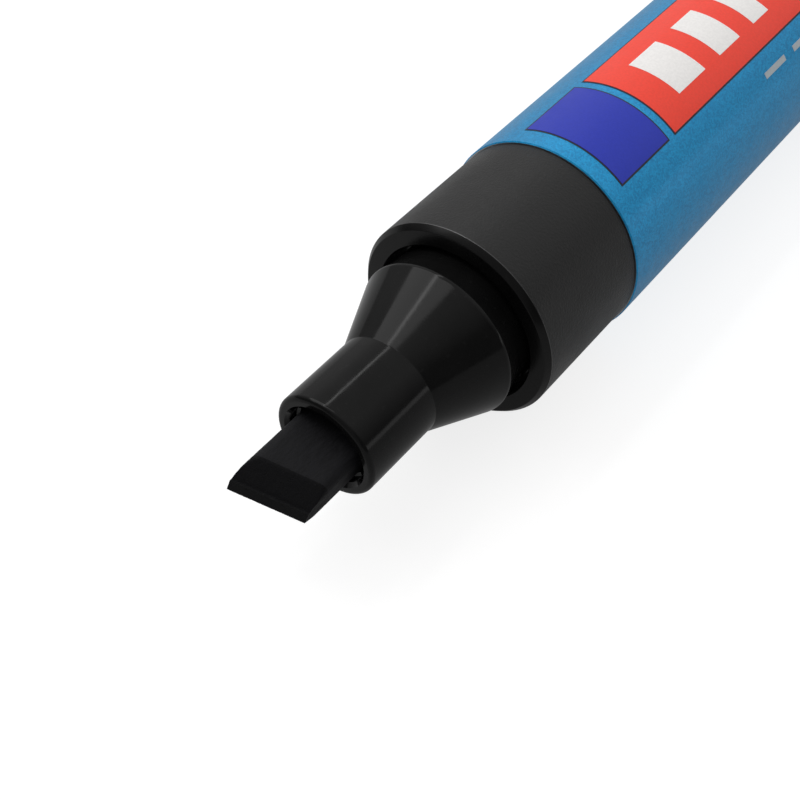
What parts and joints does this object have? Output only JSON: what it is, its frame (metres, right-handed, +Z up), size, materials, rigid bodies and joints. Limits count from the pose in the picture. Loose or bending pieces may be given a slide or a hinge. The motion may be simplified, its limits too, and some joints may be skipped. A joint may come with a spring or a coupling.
{
  "type": "flipchart marker",
  "caption": "Chisel-nib flipchart and whiteboard marker: blue metal barrel, black collar and conical nib holder, replaceable felt nib, and a clip cap with six anti-roll flats posted on the rear end.",
  "frame": {"origin": "on the pen's axis, at the middle of the barrel tube", "axes": "+X along the pen's axis from the nib towards the cap, +Z up as the pen lies on a table"},
  "size_m": [0.1589, 0.0186, 0.0156],
  "materials": {
    "barrel_lacquer": "satin",
    "collar_plastic": "matte",
    "nose_plastic": "gloss",
    "nib_felt": "matte",
    "reservoir_fibre": "matte",
    "reservoir_wrap": "gloss",
    "plug_plastic": "satin",
    "cap_plastic": "satin",
    "liner_plastic": "satin"
  },
  "bodies": {
    "pen": {"barrel_tube": "barrel_lacquer", "front_collar": "collar_plastic", "nib_holder": "nose_plastic", "reservoir_core": "reservoir_fibre", "reservoir_film": "reservoir_wrap", "end_plug": "plug_plastic"},
    "nib": {"nib": "nib_felt"},
    "cap": {"cap_shell": "cap_plastic", "cap_liner": "liner_plastic"}
  },
  "joints": [
    {"name": "cap_pull", "type": "slide", "parent": "pen", "child": "cap", "axis": [1, 0, 0], "range_m": [0, 0.03]},
    {"name": "nib_pull", "type": "slide", "parent": "pen", "child": "nib", "axis": [-1, 0, 0], "range_m": [0, 0.034]}
  ]
}
